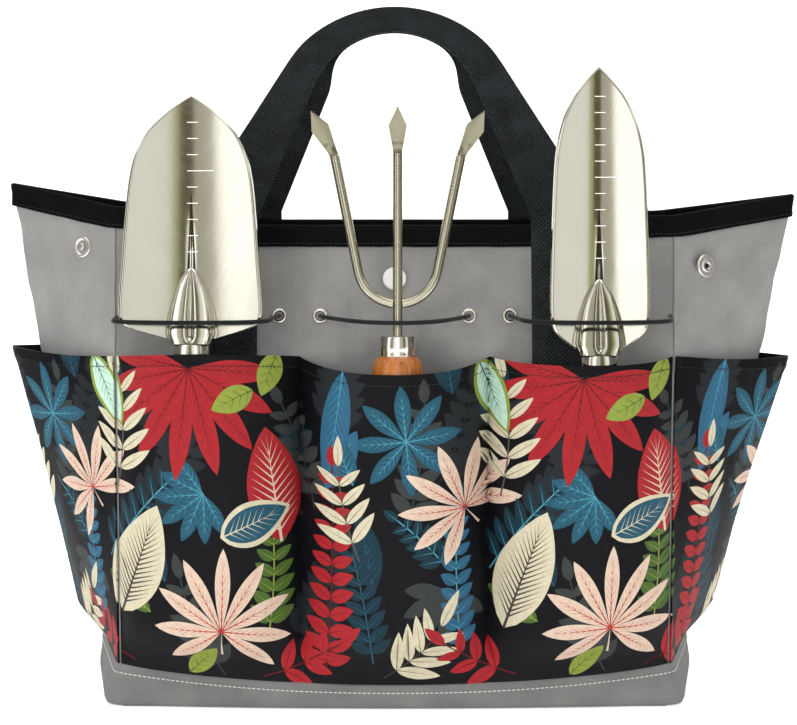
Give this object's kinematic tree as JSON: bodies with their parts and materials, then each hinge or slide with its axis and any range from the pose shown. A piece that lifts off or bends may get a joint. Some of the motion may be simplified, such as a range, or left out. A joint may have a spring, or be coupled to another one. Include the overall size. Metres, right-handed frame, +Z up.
{
  "type": "garden tool bag",
  "caption": "Open-topped garden tote with folded webbing handles, leaf-print outside pockets, elastic retainers and hand tools that lift out.",
  "frame": {"origin": "centre of the underside of the base", "axes": "+X along the bag, to the right seen from the front; -Y towards the front pockets that hold the tools; +Z up"},
  "size_m": [0.5068, 0.2302, 0.4392],
  "materials": {
    "gray_canvas": "woven, matte",
    "leaf_print": "woven, printed with leaves",
    "black_binding": "ribbed tape",
    "black_webbing": "coarse webbing",
    "black_elastic": "braided",
    "board_plastic": "matte",
    "nickel": "plated",
    "white_cap": "satin",
    "tool_steel": "polished",
    "turned_wood": "varnished"
  },
  "bodies": {
    "bag": {"bottom_panel": "gray_canvas", "base_board": "board_plastic", "base_band": "gray_canvas", "front_panel": "gray_canvas", "back_panel": "gray_canvas", "left_gusset": "gray_canvas", "right_gusset": "gray_canvas", "mouth_binding": "black_binding", "front_pocket": "leaf_print", "back_pocket": "leaf_print", "left_pocket": "leaf_print", "right_pocket": "leaf_print", "front_strap_left": "black_webbing", "front_strap_right": "black_webbing", "back_strap_left": "black_webbing", "back_strap_right": "black_webbing", "front_eyelets": "nickel", "back_eyelets": "nickel", "front_elastic": "black_elastic", "back_elastic": "black_elastic", "gusset_studs": "nickel", "gusset_sockets": "nickel", "gusset_snap_caps": "nickel", "closure_caps": "white_cap", "closure_socket": "nickel", "closure_stud": "nickel"},
    "front_loop": {"front_handle": "black_webbing"},
    "back_loop": {"back_handle": "black_webbing"},
    "trowel": {"trowel_blade": "tool_steel", "trowel_ferrule": "tool_steel", "trowel_handle": "turned_wood"},
    "transplanter": {"transplanter_blade": "tool_steel", "transplanter_ferrule": "tool_steel", "transplanter_handle": "turned_wood"},
    "cultivator": {"cultivator_centre_tine": "tool_steel", "cultivator_outer_tines": "tool_steel", "cultivator_ferrule": "tool_steel", "cultivator_handle": "turned_wood"}
  },
  "joints": [
    {"name": "front_handle_fold", "type": "hinge", "parent": "bag", "child": "front_loop", "pos_m": [0, -0.04051, 0.301], "axis": [-1, 0, 0], "range_deg": [-34, 0]},
    {"name": "back_handle_fold", "type": "hinge", "parent": "bag", "child": "back_loop", "pos_m": [0, 0.04051, 0.301], "axis": [-1, 0, 0], "range_deg": [0, 145]},
    {"name": "trowel_lift", "type": "slide", "parent": "bag", "child": "trowel", "axis": [0, 0.1191, 0.9929], "range_m": [0, 0.17]},
    {"name": "transplanter_lift", "type": "slide", "parent": "bag", "child": "transplanter", "axis": [0, 0.1191, 0.9929], "range_m": [0, 0.17]},
    {"name": "cultivator_lift", "type": "slide", "parent": "bag", "child": "cultivator", "axis": [0, 0.1191, 0.9929], "range_m": [0, 0.17]}
  ]
}
